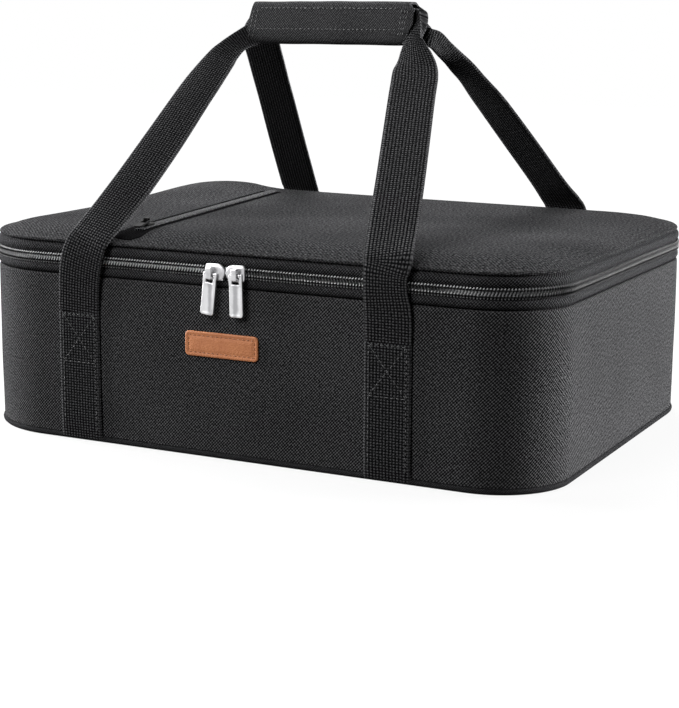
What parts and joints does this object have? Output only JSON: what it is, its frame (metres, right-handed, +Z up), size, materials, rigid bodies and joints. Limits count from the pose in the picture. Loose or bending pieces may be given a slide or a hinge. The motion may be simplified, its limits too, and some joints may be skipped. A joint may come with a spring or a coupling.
{
  "type": "casserole carrier",
  "caption": "Soft insulated box for carrying a baking dish: zip-round lid hinged at the back, webbing handles joined by a hook-and-loop hand grip, pocket in the lid, blank leather patch.",
  "frame": {"origin": "on the floor under the middle of the box", "axes": "+X along the length to the right seen from the front, +Y to the back (the lid's hinge), +Z up"},
  "size_m": [0.422, 0.3329, 0.284],
  "materials": {
    "outer_fabric": "matte",
    "webbing": "matte",
    "zip_tape": "matte",
    "zip_coil": "gloss",
    "foam": "matte",
    "foil": "satin",
    "binding": "matte",
    "slider_metal": "polished",
    "black_metal": "satin",
    "hook_tape": "matte",
    "leather": "satin"
  },
  "bodies": {
    "box": {"bottom_panel": "outer_fabric", "bottom_piping": "binding", "wall_fabric": "outer_fabric", "wall_foam": "foam", "base_foam": "foam", "body_lining": "foil", "body_rim_binding": "binding", "lower_zip_tape": "zip_tape", "lower_zip_coil": "zip_coil", "lid_hinge_strip": "outer_fabric", "front_left_strap": "webbing", "front_right_strap": "webbing", "back_left_strap": "webbing", "back_right_strap": "webbing", "leather_patch": "leather"},
    "lid": {"lid_panel": "outer_fabric", "lid_foam": "foam", "lid_lining": "foil", "lid_rim_binding": "binding", "upper_zip_tape": "zip_tape", "upper_zip_coil": "zip_coil", "pocket_zip": "zip_tape", "pocket_pouch": "zip_tape"},
    "front_handle": {"front_strap_loop": "webbing", "grip_wrap": "outer_fabric", "grip_loop_tape": "hook_tape"},
    "grip_flap": {"grip_flap": "outer_fabric", "grip_hook_tape": "hook_tape"},
    "back_handle": {"back_strap_loop": "webbing"},
    "left_slider": {"left_slider": "slider_metal"},
    "left_pull": {"left_pull": "slider_metal"},
    "right_slider": {"right_slider": "slider_metal"},
    "right_pull": {"right_pull": "slider_metal"},
    "pocket_slider": {"pocket_slider": "black_metal"},
    "pocket_pull": {"pocket_pull": "black_metal"}
  },
  "joints": [
    {"name": "lid_hinge", "type": "hinge", "parent": "box", "child": "lid", "pos_m": [0, 0.16, 0.1202], "axis": [-1, 0, 0], "range_deg": [0, 105], "deforming": ["lid_hinge_strip", "front_strap_loop", "back_strap_loop"]},
    {"name": "front_handle_swing", "type": "hinge", "parent": "box", "child": "front_handle", "pos_m": [0, -0.1613, 0.0863], "axis": [1, 0, 0], "range_deg": [0, 126]},
    {"name": "back_handle_swing", "type": "hinge", "parent": "box", "child": "back_handle", "pos_m": [0, 0.1613, 0.0863], "axis": [-1, 0, 0], "range_deg": [0, 126]},
    {"name": "grip_flap_hinge", "type": "hinge", "parent": "front_handle", "child": "grip_flap", "pos_m": [-0.0045, 0.0073, 0.28265], "axis": [-1, 0, 0], "range_deg": [0, 150]},
    {"name": "left_slider_run", "type": "slide", "parent": "box", "child": "left_slider", "axis": [-1, 0, 0], "range_m": [0, 0.125]},
    {"name": "right_slider_run", "type": "slide", "parent": "box", "child": "right_slider", "axis": [1, 0, 0], "range_m": [0, 0.125]},
    {"name": "left_pull_swing", "type": "hinge", "parent": "left_slider", "child": "left_pull", "pos_m": [-0.00905, -0.1653, 0.1193], "axis": [-1, 0, 0], "range_deg": [-5, 165]},
    {"name": "right_pull_swing", "type": "hinge", "parent": "right_slider", "child": "right_pull", "pos_m": [0.00905, -0.1653, 0.1193], "axis": [-1, 0, 0], "range_deg": [-5, 165]},
    {"name": "pocket_slider_run", "type": "slide", "parent": "lid", "child": "pocket_slider", "axis": [-0.1597, 0.9872, 0], "range_m": [0, 0.225]},
    {"name": "pocket_pull_swing", "type": "hinge", "parent": "pocket_slider", "child": "pocket_pull", "pos_m": [-0.08186, -0.12567, 0.1438], "axis": [-0.9872, -0.1597, 0], "range_deg": [0, 165]}
  ],
  "couplings": [
    {"joint": "front_handle_swing", "follows": "lid_hinge", "ratio": 1.2},
    {"joint": "back_handle_swing", "follows": "lid_hinge", "ratio": 1.2}
  ]
}
